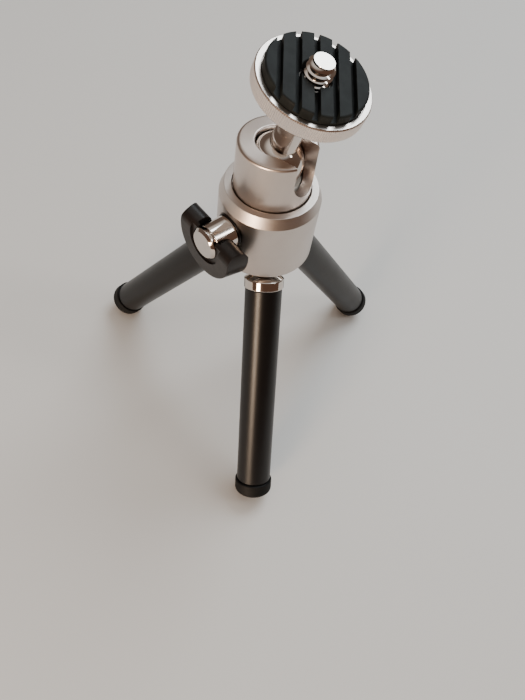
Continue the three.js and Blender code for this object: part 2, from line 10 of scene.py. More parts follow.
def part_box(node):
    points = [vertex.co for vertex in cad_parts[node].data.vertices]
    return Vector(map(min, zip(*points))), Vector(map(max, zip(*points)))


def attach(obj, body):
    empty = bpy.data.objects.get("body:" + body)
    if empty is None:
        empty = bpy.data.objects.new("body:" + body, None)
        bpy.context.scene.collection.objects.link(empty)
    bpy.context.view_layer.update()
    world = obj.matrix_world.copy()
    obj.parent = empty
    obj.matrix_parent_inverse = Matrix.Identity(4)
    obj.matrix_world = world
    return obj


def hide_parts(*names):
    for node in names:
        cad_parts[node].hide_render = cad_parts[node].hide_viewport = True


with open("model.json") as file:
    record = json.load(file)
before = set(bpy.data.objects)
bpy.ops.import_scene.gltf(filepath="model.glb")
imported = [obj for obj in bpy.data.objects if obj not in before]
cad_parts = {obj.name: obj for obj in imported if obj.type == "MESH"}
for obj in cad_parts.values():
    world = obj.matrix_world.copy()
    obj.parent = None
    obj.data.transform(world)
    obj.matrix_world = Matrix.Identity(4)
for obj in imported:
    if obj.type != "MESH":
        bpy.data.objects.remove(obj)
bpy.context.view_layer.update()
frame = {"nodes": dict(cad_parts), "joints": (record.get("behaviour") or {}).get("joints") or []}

MM = 0.001

# ---- sizes in millimetres that the frame's boxes don't give ----

HUB_BORE = 11.85
HUB_CHAMFER_HEIGHT = 2.9
HUB_CHAMFER_WIDTH = 1.15
HUB_LIP_THICKNESS = 2.5
HUB_LIP_BORE = 10.25
HUB_FOOT_EDGE = 0.7
HUB_EASE = 0.15
HUB_LIP_EASE = 0.2
SCREW_HOLE_RADIUS = 2.1
SPOT_FACE_RADIUS = 4.85
SPOT_FACE_REACH = 12.6

CUP_RADIUS = 9.95
CUP_BORE = 7.3
CUP_MOUTH_RADIUS = 5.54
CUP_FLANGE_HEIGHT = 1.7
CUP_RIM_EDGE = 0.9
CUP_MOUTH_EDGE = 0.35
CUP_FLANGE_EASE = 0.2
DROP_SLOT_HALF_WIDTH = 5

BALL_RADIUS = 7
NECK_RADIUS = 3.5
NECK_STRAIGHT_END = 11
NECK_FLARE_RADIUS = 6.4
STUD_SOCKET_DEPTH = 6.1
STUD_SOCKET_RADIUS = 3.275
STUD_ROOT_RADIUS = 2.39
STUD_TIP_RADIUS = 2.35
STUD_CHAMFER_LENGTH = 1.3
STUD_PITCH = 1.27
STUD_CREST_EASE = 0.05
STUD_BORE = 3.475
PLATFORM_EDGE = 0.3
PAD_RECESS_RADIUS = 11.8
PAD_RECESS_DEPTH = 0.5
PAD_RECESS_EASE = 0.12
PAD_BORE = 3.775
PAD_RIB_HEIGHT = 1.7
PAD_RIB_PITCH = 4.095
PAD_GROOVE_WIDTH = 1.4
PAD_GROOVE_COUNT = 5
PAD_GROOVE_OFFSET = 0.3
PAD_RIB_AZIMUTH = 123.5
KNURL_COUNT = 168
KNURL_STEPS = 4
KNURL_DEPTH = 0.13
KNURL_RUN_OUT = 0.15

KNOB_REST_TURN = -3
BARREL_RADIUS = 4.35
BARREL_EDGE = 0.7
BARREL_BORE = 1.9
BARREL_HEAD_LENGTH = 0.9
BARREL_GROOVE_WIDTH = 1
BARREL_GROOVE_RADIUS = 3.35
WING_FRONT_RADIUS = 9.7
WING_BACK_RADIUS = 10.7
WING_CROWN_HEIGHT = 3.7
WING_FRONT_SLOT = 5.6
WASHER_BORE = 2.1

LEG_COUNT = 3
FERRULE_RADIUS = 5.55
FERRULE_TOP = 6.25
FERRULE_HEIGHT = 2.65
FERRULE_CONE_HEIGHT = 1.6
SPIGOT_RADIUS = 4.5
TONGUE_WIDTH = 4
TONGUE_THICKNESS = 4
TONGUE_COLLAR = 0.6
PIVOT_HOLE_RADIUS = 1.3
OUTER_TUBE_BORE = 4.6
MIDDLE_TUBE_BORE = 3.55
INNER_TUBE_BORE = 2.45
FOOT_EDGE = 1.5
FOOT_RIM_EDGE = 0.4
FOOT_SOCKET_RADIUS = 3
FOOT_SOCKET_DEPTH = 3.45

FIT_GAP = 0.1

# ---- how finely the round pieces are divided ----

LARGE_FACETS = 192
MIDDLE_FACETS = 144
LEG_HEAD_FACETS = 128
TUBE_FACETS = 112
SMALL_FACETS = 96
STUD_FACETS = 72
ON_AXIS = 1e-6
EASE_SHARPER_THAN = 38
SMOOTH_BELOW = 32
LATHE_LINE_SPACING = 0.12


joints = {joint["name"]: joint for joint in frame["joints"]}
hub_place = Matrix.Translation(Vector(joints["cup_pan"]["pos_m"][:2] + [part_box("hub_shell")[0].z]))


# ---- camera and lights ----

CAMERA_FROM_HUB_FOOT = (-22.39, -122.67, 136.23)
CAMERA_TURN = -12.87
CAMERA_DIP = 56.4
CAMERA_ROLL = -10.96
CAMERA_LENS = 33.46
CAMERA_SHIFT = (-0.0008, -0.0086)

TABLE_CENTRE = (-0.25, 0.45, 0)
TABLE_RADIUS = 0.72


def set_camera():
    dip = math.radians(CAMERA_DIP)
    roll = math.radians(CAMERA_ROLL)
    ahead = Vector((0, math.cos(dip), -math.sin(dip)))
    across = Vector((1, 0, 0))
    below = Vector((0, -math.sin(dip), -math.cos(dip)))
    right = across * math.cos(roll) + below * math.sin(roll)
    down = below * math.cos(roll) - across * math.sin(roll)
    axes = Matrix((right, -down, -ahead)).transposed()
    data = bpy.data.cameras.new("studio_camera")
    data.lens = CAMERA_LENS
    data.shift_x, data.shift_y = CAMERA_SHIFT
    data.clip_start = 0.005
    camera = bpy.data.objects.new("studio_camera", data)
    bpy.context.scene.collection.objects.link(camera)
    turn = Matrix.Rotation(math.radians(CAMERA_TURN), 4, "Z")
    place = Matrix.Translation(Vector(CAMERA_FROM_HUB_FOOT) * MM)
    camera.matrix_world = hub_place @ place @ turn @ axes.to_4x4()
    bpy.context.scene.camera = camera


def soft_light(name, place, aim, size, watts, tint):
    """A rectangular soft box that faces a point."""
    data = bpy.data.lights.new(name, "AREA")
    data.shape = "RECTANGLE"
    data.size, data.size_y = size
    data.energy = watts
    data.color = tint
    light = bpy.data.objects.new(name, data)
    bpy.context.scene.collection.objects.link(light)
    light.location = place
    light.rotation_mode = "QUATERNION"
    light.rotation_quaternion = (Vector(place) - Vector(aim)).to_track_quat("Z", "Y")


# ---- finishes ----


class Value:
    """A number over a surface. Sums, differences and products of values add Math nodes."""

    def __init__(self, recipe, socket):
        self.recipe = recipe
        self.socket = socket

    def math(self, operation, *operands):
        return self.recipe.node("ShaderNodeMath", {"operation": operation}, dict(enumerate(operands)))

    def __add__(self, other):
        return self.math("ADD", self, other)

    def __radd__(self, other):
        return self.math("ADD", other, self)

    def __sub__(self, other):
        return self.math("SUBTRACT", self, other)

    def __rsub__(self, other):
        return self.math("SUBTRACT", other, self)

    def __mul__(self, other):
        return self.math("MULTIPLY", self, other)

    def __rmul__(self, other):
        return self.math("MULTIPLY", other, self)

    def eased(self, low, high):
        """0 below low, 1 above high, and a smooth step between."""
        settings = {"interpolation_type": "SMOOTHSTEP"}
        sockets = {"Value": self, "From Min": low, "From Max": high}
        return self.recipe.node("ShaderNodeMapRange", settings, sockets)


class Recipe:
    """The node tree of one finish, with the few patterns that this tripod's finishes share."""

    def __init__(self, tree):
        tree.nodes.clear()
        self.nodes = tree.nodes
        self.links = tree.links

    def node(self, kind, settings=None, sockets=None, output=0):
        """Any node: its settings first, then the values or links of its sockets."""
        made = self.nodes.new(kind)
        for name, setting in (settings or {}).items():
            setattr(made, name, setting)
        for name, value in (sockets or {}).items():
            if isinstance(value, Value):
                self.links.new(value.socket, made.inputs[name])
            else:
                made.inputs[name].default_value = value
        return Value(self, made.outputs[output]) if made.outputs else None

    def place(self):
        """The point on the piece, from the piece's own axis, in metres."""
        return self.node("ShaderNodeTexCoord", output=3)

    def parts(self, vector):
        """The three numbers of a vector."""
        split = self.node("ShaderNodeSeparateXYZ", {}, {0: vector})
        return [Value(self, socket) for socket in split.socket.node.outputs]

    def noise(self, size, detail=2, roughness=0.5, vector=None):
        """Cloudy noise with blotches of about a size in millimetres."""
        sockets = {"Vector": vector or self.place(), "Scale": 1 / (size * MM)}
        sockets.update({"Detail": detail, "Roughness": roughness})
        return self.node("ShaderNodeTexNoise", {}, sockets)

    def turning(self, spacing):
        """Lathe lines round the piece's own axis, spaced in millimetres, along it and across it."""
        point = self.place()
        flat = self.node("ShaderNodeVectorMath", {"operation": "MULTIPLY"}, {0: point, 1: (1, 1, 0)})
        reach = self.node("ShaderNodeVectorMath", {"operation": "LENGTH"}, {0: flat}, output=1)
        across, _, along = self.parts(point)
        lines = self.node("ShaderNodeCombineXYZ", {}, {"X": reach, "Y": across * 0.02, "Z": along})
        return self.noise(spacing, 3, 0.6, lines)

    def mix(self, share, first, second):
        """One colour into another."""
        return self.node("ShaderNodeMix", {"data_type": "RGBA"}, {0: share, 6: first, 7: second}, output=2)

    def bump(self, height, depth, strength):
        """A normal from a height between 0 and 1, over a depth in millimetres."""
        return self.node("ShaderNodeBump", {}, {"Height": height, "Distance": depth * MM, "Strength": strength})

    def surface(self, sockets):
        shader = self.node("ShaderNodeBsdfPrincipled", {}, sockets)
        self.node("ShaderNodeOutputMaterial", {}, {"Surface": shader})


def finish(name):
    """A new material and its recipe."""
    material = bpy.data.materials.new(name)
    material.use_nodes = True
    return material, Recipe(material.node_tree)


def satin_turned_metal(name, tint, dark_tint, roughness, scuffs=0.0):
    """Turned metal with a satin plate: lathe lines, faint cloudiness and, where asked, small scuffs."""
    material, recipe = finish(name)
    turning = recipe.turning(LATHE_LINE_SPACING)
    clouds = recipe.noise(4.5, 3)
    specks = recipe.noise(0.55, 4, 0.65)
    worn = specks.eased(0.66, 0.74) * clouds.eased(0.48, 0.62) * scuffs
    tone = recipe.mix(clouds.eased(0.3, 0.75) * 0.5, tint, dark_tint)
    recipe.surface(
        {
            "Base Color": recipe.mix(worn, tone, (0.34, 0.26, 0.2, 1)),
            "Metallic": 1.0,
            "Roughness": roughness + (turning - 0.5) * 0.12 + (clouds - 0.5) * 0.08 + worn * 0.2,
            "Anisotropic": 0.45,
            "Normal": recipe.bump(turning - worn * 0.8, 0.004, 0.5),
        }
    )
    return material


def polished_chrome():
    """Bright plate with faint polishing lines and a few dull smears."""
    material, recipe = finish("polished_chrome")
    lines = recipe.turning(0.2)
    smears = recipe.noise(2.5, 3).eased(0.45, 0.8)
    recipe.surface(
        {
            "Base Color": recipe.mix(smears * 0.35, (0.68, 0.62, 0.57, 1), (0.56, 0.49, 0.44, 1)),
            "Metallic": 1.0,
            "Roughness": 0.06 + smears * 0.08 + lines * 0.03,
            "Normal": recipe.bump(lines, 0.0012, 0.35),
        }
    )
    return material


def dull_steel():
    material, recipe = finish("dull_steel")
    grain = recipe.noise(0.25, 4)
    recipe.surface(
        {
            "Base Color": recipe.mix(grain.eased(0.3, 0.7), (0.2, 0.19, 0.185, 1), (0.3, 0.285, 0.27, 1)),
            "Metallic": 1.0,
            "Roughness": 0.38 + grain * 0.16,
            "Normal": recipe.bump(grain, 0.01, 0.4),
        }
    )
    return material


def turned_brass():
    material, recipe = finish("turned_brass")
    lines = recipe.noise(0.3, 3)
    recipe.surface(
        {
            "Base Color": recipe.mix(lines, (0.62, 0.43, 0.2, 1), (0.5, 0.33, 0.15, 1)),
            "Metallic": 1.0,
            "Roughness": 0.28 + lines * 0.12,
            "Normal": recipe.bump(lines, 0.005, 0.4),
        }
    )
    return material


def satin_black_paint():
    """Baked black paint on the leg tubes: a fine pebbled skin with a slight sheen."""
    material, recipe = finish("satin_black_paint")
    pebbles = recipe.noise(0.16, 3, 0.55)
    clouds = recipe.noise(6, 3)
    dust = recipe.noise(0.35, 5, 0.7).eased(0.7, 0.78)
    recipe.surface(
        {
            "Base Color": recipe.mix(dust * 0.4, (0.0042, 0.0038, 0.0038, 1), (0.05, 0.043, 0.038, 1)),
            "Roughness": 0.29 + pebbles * 0.1 + (clouds - 0.5) * 0.1,
            "Specular IOR Level": 0.32,
            "Normal": recipe.bump(pebbles, 0.018, 0.55),
        }
    )
    return material


def moulded_black_plastic():
    """Hard moulded plastic of the clamp wing, with a very fine texture, glossier rubbed places, and a painted
    brownish sheen in those places.
    """
    material, recipe = finish("moulded_black_plastic")
    grain = recipe.noise(0.12, 2, 0.5)
    rubbed_and_sheen = recipe.noise(3.2, 3).eased(0.45, 0.75)
    recipe.surface(
        {
            # the brownish colour of the rubbed places is painted sheen; their lower roughness is the rubbing
            "Base Color": recipe.mix(rubbed_and_sheen * 0.6, (0.009, 0.0075, 0.0075, 1), (0.019, 0.0145, 0.0135, 1)),
            "Roughness": 0.3 + grain * 0.1 - rubbed_and_sheen * 0.06,
            "Specular IOR Level": 0.32,
            "Normal": recipe.bump(grain, 0.01, 0.35),
        }
    )
    return material


def soft_rubber(name, tint, roughness):
    """Matt rubber with a fine skin and a little pale dust."""
    material, recipe = finish(name)
    skin = recipe.noise(0.2, 4, 0.6)
    clouds = recipe.noise(3, 3)
    dust = recipe.noise(0.3, 5, 0.75).eased(0.68, 0.76) * clouds.eased(0.4, 0.6)
    pale = tuple(channel * 1.8 for channel in tint[:3]) + (1,)
    tone = recipe.mix(clouds.eased(0.3, 0.7), tint, pale)
    recipe.surface(
        {
            "Base Color": recipe.mix(dust * 0.45, tone, (0.16, 0.15, 0.14, 1)),
            "Roughness": roughness + (skin - 0.5) * 0.15,
            "Specular IOR Level": 0.16,
            "Normal": recipe.bump(skin, 0.02, 0.5),
        }
    )
    return material


def white_nylon():
    material, recipe = finish("white_nylon")
    grain = recipe.noise(0.4, 3)
    recipe.surface(
        {
            "Base Color": recipe.mix(grain, (0.72, 0.7, 0.65, 1), (0.62, 0.6, 0.55, 1)),
            "Roughness": 0.42 + grain * 0.12,
            "Normal": recipe.bump(grain, 0.01, 0.4),
        }
    )
    return material


def pale_table():
    """The plain pale surface under the tripod."""
    material, recipe = finish("pale_table")
    clouds = recipe.noise(90, 2)
    recipe.surface(
        {
            "Base Color": recipe.mix(clouds, (0.68, 0.665, 0.645, 1), (0.7, 0.687, 0.67, 1)),
            "Roughness": 0.55,
        }
    )
    return material


# ---- mesh helpers; every outline is in millimetres ----


def softened(corners, steps=6):
    """An outline whose (across, up, fillet) corners become arcs; a corner without a fillet stays sharp."""
    points = []
    for number, corner in enumerate(corners):
        here = Vector(corner[:2])
        if len(corner) < 3:
            points.append(here)
            continue
        back = (Vector(corners[number - 1][:2]) - here).normalized()
        on = (Vector(corners[(number + 1) % len(corners)][:2]) - here).normalized()
        half = back.angle(on) / 2
        centre = here + (back + on).normalized() * (corner[2] / math.sin(half))
        start = here + back * (corner[2] / math.tan(half)) - centre
        end = here + on * (corner[2] / math.tan(half)) - centre
        sweep = start.angle(end)
        for step in range(steps + 1):
            share = step / steps
            spoke = start * math.sin((1 - share) * sweep) + end * math.sin(share * sweep)
            points.append(centre + spoke / math.sin(sweep))
    return points


def arc(across, up, radius, start, end, steps):
    """Points of an arc, from one angle to another in degrees."""
    points = []
    for step in range(steps + 1):
        angle = math.radians(start + (end - start) * step / steps)
        points.append((across + radius * math.cos(angle), up + radius * math.sin(angle)))
    return points


def turned(outline, around, ridge=None):
    """A lathe shape about +Z from an outline of (radius, height) that ends on the axis or closes on itself.

    ridge(radius, height, step) gives how far the surface stands in from its radius.
    """
    bm = bmesh.new()
    rings = []
    for radius, height in outline:
        if radius < ON_AXIS:
            rings.append([bm.verts.new((0, 0, height * MM))])
            continue
        ring = []
        for step in range(around):
            turn = 2 * math.pi * step / around
            reach = radius - (ridge(radius, height, step) if ridge else 0)
            ring.append(bm.verts.new((reach * math.cos(turn) * MM, reach * math.sin(turn) * MM, height * MM)))
        rings.append(ring)
    closed = len(rings[0]) > 1 and len(rings[-1]) > 1
    for number in range(len(rings) - (0 if closed else 1)):
        low, high = rings[number], rings[(number + 1) % len(rings)]
        if len(low) == len(high) == 1:
            continue
        for step in range(around):
            on = (step + 1) % around
            corners = [low[step % len(low)], low[on % len(low)], high[on % len(high)], high[step % len(high)]]
            bm.faces.new(list(dict.fromkeys(corners)))
    bmesh.ops.recalc_face_normals(bm, faces=bm.faces)
    return bm


def extruded(outline, start, end):
    """A straight shape along +Z from an outline of (x, y)."""
    bm = bmesh.new()
    ends = [[bm.verts.new((x * MM, y * MM, z * MM)) for x, y in outline] for z in (start, end)]
    bm.faces.new(ends[0])
    bm.faces.new(ends[1])
    for number in range(len(outline)):
        on = (number + 1) % len(outline)
        bm.faces.new([ends[0][number], ends[0][on], ends[1][on], ends[1][number]])
    bmesh.ops.recalc_face_normals(bm, faces=bm.faces)
    return bm


def u_outline(half_width, height, steps=40):
    """A slot's outline about the origin: a round end below and straight sides up to a height."""
    return arc(0, 0, half_width, 180, 360, steps) + [(half_width, height), (-half_width, height)]


def round_outline(radius, steps=64):
    return arc(0, 0, radius, 0, 360, steps)[:-1]


def as_object(name, bm, place):
    mesh = bpy.data.meshes.new(name)
    bm.to_mesh(mesh)
    bm.free()
    made = bpy.data.objects.new(name, mesh)
    bpy.context.scene.collection.objects.link(made)
    made.matrix_world = place
    return made


def with_modifiers_applied(piece):
    """The piece's mesh with its modifiers made real."""
    bpy.context.view_layer.update()
    shaped = piece.evaluated_get(bpy.context.evaluated_depsgraph_get())
    mesh = bpy.data.meshes.new_from_object(shaped)
    piece.modifiers.clear()
    old = piece.data
    piece.data = mesh
    bpy.data.meshes.remove(old)
    return piece


def combined(piece, operation, *tools):
    """The piece after other shapes are cut from it or joined to it."""
    for tool in tools:
        step = piece.modifiers.new("combine", "BOOLEAN")
        step.operation = operation
        step.solver = "EXACT"
        step.object = tool
    with_modifiers_applied(piece)
    for tool in tools:
        bpy.data.objects.remove(tool)
    return piece


def eased_edges(piece, width, segments=3):
    """Small rounds along every edge that is sharper than an angle."""
    step = piece.modifiers.new("ease", "BEVEL")
    step.width = width * MM
    step.segments = segments
    step.limit_method = "ANGLE"
    step.angle_limit = math.radians(EASE_SHARPER_THAN)
    step.use_clamp_overlap = True
    return with_modifiers_applied(piece)


def finished(piece, material, body, slot, *nodes):
    """Smooth shading, a finish and a body for a piece that stands for CAD nodes."""
    mesh = piece.data
    mesh.shade_smooth()
    mesh.set_sharp_from_angle(angle=math.radians(SMOOTH_BELOW))
    weighted = piece.modifiers.new("weighted", "WEIGHTED_NORMAL")
    weighted.keep_sharp = True
    with_modifiers_applied(piece)
    piece.data.materials.clear()
    piece.data.materials.append(material)
    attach(piece, body)
    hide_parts(*nodes)
    return piece


# ---- where the pieces sit ----


def place_on(origin, along, sideways):
    """A frame in metres at an origin, with +Z along one direction and +Y near another."""
    z = Vector(along).normalized()
    x = Vector(sideways).cross(z).normalized()
    axes = Matrix((x, z.cross(x), z)).transposed().to_4x4()
    return Matrix.Translation(Vector(origin)) @ axes


def span(node, place):
    """A node's greatest radius, lowest and highest point in a frame, in millimetres."""
    inverse = place.inverted()
    points = [inverse @ vertex.co / MM for vertex in frame["nodes"][node].data.vertices]
    reach = max(math.hypot(point.x, point.y) for point in points)
    heights = [point.z for point in points]
    return reach, min(heights), max(heights)


tilt_axis = Vector(joints["head_tilt"]["axis"])
ball_centre = Vector(joints["head_tilt"]["pos_m"])
cup_place = place_on(ball_centre, (0, 0, 1), tilt_axis)
head_place = place_on(ball_centre, joints["platform_spin"]["axis"], tilt_axis)

knob_axis = Vector(joints["knob_turn"]["axis"])
knob_up = Matrix.Rotation(math.radians(KNOB_REST_TURN), 3, knob_axis) @ Vector((0, 0, 1))
knob_place = place_on(joints["knob_turn"]["pos_m"], knob_axis, knob_up)


def leg_place(number):
    """A leg's frame: +Z up along the leg from its pivot, +Y along the pivot pin."""
    down = Vector(joints[f"middle_slide_{number}"]["axis"])
    return place_on(joints[f"leg_fold_{number}"]["pos_m"], -down, joints[f"leg_fold_{number}"]["axis"])


# ---- hub ----


def make_hub(silver):
    radius, low, high = span("hub_shell", hub_place)
    collar = high - HUB_CHAMFER_HEIGHT
    outline = softened(
        [
            (HUB_BORE, low, HUB_EASE),
            (radius, low, HUB_FOOT_EDGE),
            (radius, collar, HUB_EASE),
            (radius - HUB_CHAMFER_WIDTH, high, HUB_EASE),
            (HUB_LIP_BORE, high, HUB_LIP_EASE),
            (HUB_LIP_BORE, high - HUB_LIP_THICKNESS, HUB_LIP_EASE),
            (HUB_BORE, high - HUB_LIP_THICKNESS),
        ]
    )
    shell = as_object("turned_hub", turned(outline, LARGE_FACETS), hub_place)
    bore = as_object("bore", extruded(round_outline(SCREW_HOLE_RADIUS), HUB_BORE / 2, radius * 2), knob_place)
    spot = round_outline(SPOT_FACE_RADIUS, SMALL_FACETS)
    face = as_object("face", extruded(spot, SPOT_FACE_REACH, radius * 2), knob_place)
    combined(shell, "DIFFERENCE", bore, face)
    eased_edges(shell, 0.08, 2)
    finished(shell, silver, "hub", "satin_silver", "hub_shell")


def make_cup(silver):
    radius, low, high = span("ball_cup", cup_place)
    flange_top = low + CUP_FLANGE_HEIGHT
    mouth_angle = math.degrees(math.acos(CUP_MOUTH_RADIUS / CUP_BORE))
    outline = softened(
        [
            (CUP_BORE, low),
            (radius, low, CUP_FLANGE_EASE),
            (radius, flange_top, CUP_FLANGE_EASE),
            (CUP_RADIUS, flange_top),
            (CUP_RADIUS, high, CUP_RIM_EDGE),
            (CUP_MOUTH_RADIUS, high, CUP_MOUTH_EDGE),
        ],
        10,
    ) + arc(0, 0, CUP_BORE, mouth_angle, 0, 16)
    cup = as_object("turned_ball_cup", turned(outline, LARGE_FACETS), cup_place)
    towards_slot = cup_place @ Matrix(((0, 0, 1, 0), (1, 0, 0, 0), (0, 1, 0, 0), (0, 0, 0, 1)))
    slot = as_object("slot", extruded(u_outline(DROP_SLOT_HALF_WIDTH, high * 2), 0, radius * 2), towards_slot)
    combined(cup, "DIFFERENCE", slot)
    eased_edges(cup, 0.3, 4)
    finished(cup, silver, "cup", "satin_silver", "ball_cup")


# ---- ball, neck, stud and platform ----


def make_ball(chrome):
    _, _, top = span("ball_neck", head_place)
    start = math.degrees(math.acos(NECK_RADIUS / BALL_RADIUS))
    outline = arc(0, 0, BALL_RADIUS, -90, start, 64)
    outline[0] = (0, -BALL_RADIUS)
    flare_steps = 28
    for step in range(flare_steps + 1):
        share = step / flare_steps
        up = NECK_STRAIGHT_END + (top - NECK_STRAIGHT_END) * share
        outline.append((NECK_RADIUS + (NECK_FLARE_RADIUS - NECK_RADIUS) * share * share, up))
    floor = top - STUD_SOCKET_DEPTH
    outline += [(STUD_SOCKET_RADIUS, top), (STUD_SOCKET_RADIUS, floor), (0, floor)]
    ball = as_object("plated_ball_and_neck", turned(outline, MIDDLE_FACETS), head_place)
    finished(ball, chrome, "ball", "chrome", "ball_neck")


def make_stud(plate):
    """The camera screw: a rolled thread that fades out in the chamfer at its tip.

    The tooth is (share of a pitch, radius), from one root to the next.
    """
    crest, low, high = span("camera_stud", head_place)
    flank_top = crest - STUD_CREST_EASE
    tooth = (
        (0, STUD_ROOT_RADIUS),
        (0.24, STUD_ROOT_RADIUS),
        (0.54, flank_top),
        (0.58, crest),
        (0.66, crest),
        (0.7, flank_top),
    )
    turns = math.ceil((high - low) / STUD_PITCH) + 2
    tip_slope = (crest - STUD_TIP_RADIUS) / STUD_CHAMFER_LENGTH
    bm = bmesh.new()
    columns = []
    for step in range(turns * STUD_FACETS + 1):
        start = low - STUD_PITCH + STUD_PITCH * step / STUD_FACETS
        angle = 2 * math.pi * step / STUD_FACETS
        column = []
        for share, radius in tooth + ((1, STUD_ROOT_RADIUS),):
            up = min(max(start + share * STUD_PITCH, low), high)
            reach = min(radius, STUD_TIP_RADIUS + (high - up) * tip_slope) if up > low else STUD_ROOT_RADIUS
            column.append(bm.verts.new((reach * math.cos(angle) * MM, reach * math.sin(angle) * MM, up * MM)))
        columns.append(column)
    for here, on in zip(columns, columns[1:]):
        for number in range(len(tooth)):
            bm.faces.new([here[number], on[number], on[number + 1], here[number + 1]])
    bmesh.ops.remove_doubles(bm, verts=bm.verts, dist=2e-6)
    bmesh.ops.dissolve_degenerate(bm, edges=bm.edges, dist=1e-7)
    rims = [edge for edge in bm.edges if edge.is_boundary]
    bmesh.ops.holes_fill(bm, edges=rims, sides=0)
    bmesh.ops.recalc_face_normals(bm, faces=bm.faces)
    stud = as_object("threaded_stud", bm, head_place)
    finished(stud, plate, "ball", "chrome", "camera_stud")


def make_platform(aluminium):
    radius, low, high = span("platform_disc", head_place)
    wall_low, wall_high = low + PLATFORM_EDGE, high - PLATFORM_EDGE
    outline = [(STUD_BORE, low), (radius - PLATFORM_EDGE, low)]
    outline += [(radius, wall_low), (radius, wall_low + KNURL_RUN_OUT)]
    outline += [(radius, wall_high - KNURL_RUN_OUT), (radius, wall_high)]
    recess_floor = high - PAD_RECESS_DEPTH
    rim_top = [(radius - PLATFORM_EDGE, high), (PAD_RECESS_RADIUS, high, PAD_RECESS_EASE)]
    outline += softened(rim_top + [(PAD_RECESS_RADIUS, recess_floor)])
    outline += [(STUD_BORE, recess_floor)]

    def knurl(at, up, step):
        if at < radius - 0.01:
            return 0
        phase = (step % KNURL_STEPS) / KNURL_STEPS
        return KNURL_DEPTH * (1 - abs(2 * phase - 1))

    disc = as_object("knurled_platform", turned(outline, KNURL_COUNT * KNURL_STEPS, knurl), head_place)
    finished(disc, aluminium, "platform", "satin_silver", "platform_disc")


def make_pad(rubber):
    radius, low, high = span("platform_pad", head_place)
    ribs_place = head_place @ Matrix.Rotation(math.radians(PAD_RIB_AZIMUTH), 4, "Z")
    outline = softened([(PAD_BORE, low), (radius, low), (radius, high, 0.5), (PAD_BORE, high, 0.3)])
    pad = as_object("ribbed_pad", turned(outline, MIDDLE_FACETS), ribs_place)
    half = PAD_GROOVE_WIDTH / 2
    cutters = []
    for number in range(PAD_GROOVE_COUNT):
        middle = (number - (PAD_GROOVE_COUNT - 1) / 2) * PAD_RIB_PITCH + PAD_GROOVE_OFFSET
        near, far = middle - half, middle + half
        sides = [(-radius * 2, near), (radius * 2, near), (radius * 2, far), (-radius * 2, far)]
        cutters.append(as_object("groove", extruded(sides, high - PAD_RIB_HEIGHT, high + 1), ribs_place))
    combined(pad, "DIFFERENCE", *cutters)
    eased_edges(pad, 0.25, 3)
    finished(pad, rubber, "platform", "black_rubber", "platform_pad")


# ---- clamp knob ----


def make_knob(chrome, plastic, seal):
    _, inner, reach = span("knob_barrel", knob_place)
    groove_outer = reach - BARREL_HEAD_LENGTH
    groove_inner = groove_outer - BARREL_GROOVE_WIDTH
    socket_end = groove_inner - BARREL_HEAD_LENGTH + FIT_GAP
    outline = softened(
        [
            (0, socket_end),
            (BARREL_BORE, socket_end),
            (BARREL_BORE, inner),
            (BARREL_RADIUS, inner, 0.3),
            (BARREL_RADIUS, groove_inner, 0.15),
            (BARREL_GROOVE_RADIUS, groove_inner, 0.1),
            (BARREL_GROOVE_RADIUS, groove_outer, 0.1),
            (BARREL_RADIUS, groove_outer, 0.15),
            (BARREL_RADIUS, reach - BARREL_EDGE, 0.25),
            (BARREL_RADIUS - BARREL_EDGE, reach, 0.2),
            (0, reach),
        ]
    )
    barrel = as_object("plated_barrel", turned(outline, MIDDLE_FACETS), knob_place)
    finished(barrel, chrome, "knob", "chrome", "knob_barrel")

    _, back, front = span("knob_wing", knob_place)
    round_radius = (front - back) / 2
    round_height = WING_CROWN_HEIGHT - round_radius
    wide = WING_BACK_RADIUS + 1
    slab = [(back, -wide), (front, -wide)] + arc(back + round_radius, round_height, round_radius, 0, 180, 32)
    edge = softened([(0, back), (WING_BACK_RADIUS, back, 0.3), (WING_FRONT_RADIUS, front, 0.3), (0, front)])
    wing = as_object("moulded_wing", turned(edge, LARGE_FACETS), knob_place)
    lying = knob_place @ Matrix(((0, 0, -1, 0), (0, 1, 0, 0), (1, 0, 0, 0), (0, 0, 0, 1)))
    combined(wing, "INTERSECT", as_object("slab", extruded(slab, -wide, wide), lying))
    open_end = WING_BACK_RADIUS * 2
    slots = [
        extruded(u_outline(BARREL_GROOVE_RADIUS + FIT_GAP, open_end), back - 1, front + 1),
        extruded(u_outline(BARREL_RADIUS + FIT_GAP, open_end), back - 1, groove_inner + FIT_GAP),
        extruded(u_outline(WING_FRONT_SLOT, open_end), groove_outer - FIT_GAP, front + 1),
    ]
    combined(wing, "DIFFERENCE", *[as_object("slot", slot, knob_place) for slot in slots])
    eased_edges(wing, 0.22, 3)
    finished(wing, plastic, "knob", "black_plastic", "knob_wing")

    radius, low, high = span("knob_washer", knob_place)
    inside = [(WASHER_BORE, high, 0.1), (WASHER_BORE, low, 0.1)]
    ring = softened([inside[1], (radius, low, 0.15), (radius, high, 0.15), inside[0]])
    washer = as_object("seal_washer", turned(ring, SMALL_FACETS), knob_place)
    finished(washer, seal, "knob", "black_plastic", "knob_washer")


# ---- legs ----


